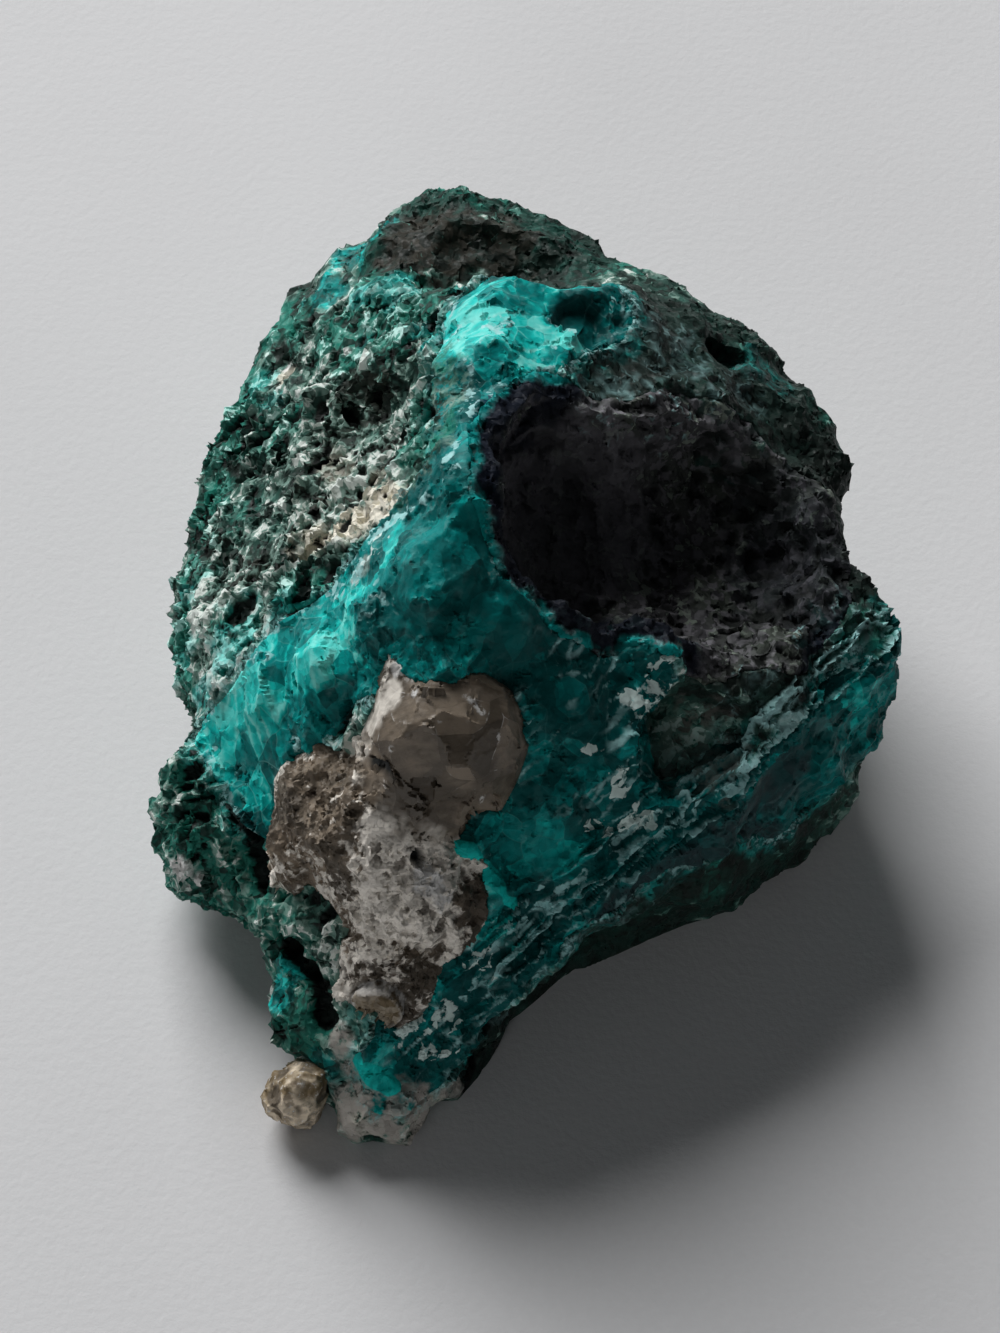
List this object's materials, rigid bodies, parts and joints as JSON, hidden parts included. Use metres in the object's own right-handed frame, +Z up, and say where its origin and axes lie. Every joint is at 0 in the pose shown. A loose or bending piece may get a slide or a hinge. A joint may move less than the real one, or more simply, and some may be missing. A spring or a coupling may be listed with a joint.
{
  "type": "dioptase mineral specimen",
  "caption": "Rough broken lump of dark ore rock crossed by a blue-green copper mineral vein, with brown quartz set in its front and a dark crystal-lined hollow.",
  "frame": {"origin": "middle of the footprint, on the surface it rests on", "axes": "+Z up, +Y from the pointed toe towards the back, +X towards the side of the big hollow"},
  "size_m": [0.0498, 0.0672, 0.0324],
  "materials": {
    "host_rock": "rough, pitted, dull, dark green-brown",
    "dioptase_vein": "waxy to glassy blue-green with pale powdery rims",
    "quartz_mass": "brown-grey, part glassy, part sugary",
    "hollow_crust": "near-black crust of tiny crystals",
    "toe_pebble": "brown-grey, weathered, dull"
  },
  "bodies": {
    "root": {"host_rock": "host_rock", "dioptase_vein": "dioptase_vein", "quartz_mass": "quartz_mass", "hollow_crust": "hollow_crust", "toe_pebble": "toe_pebble"}
  },
  "joints": []
}
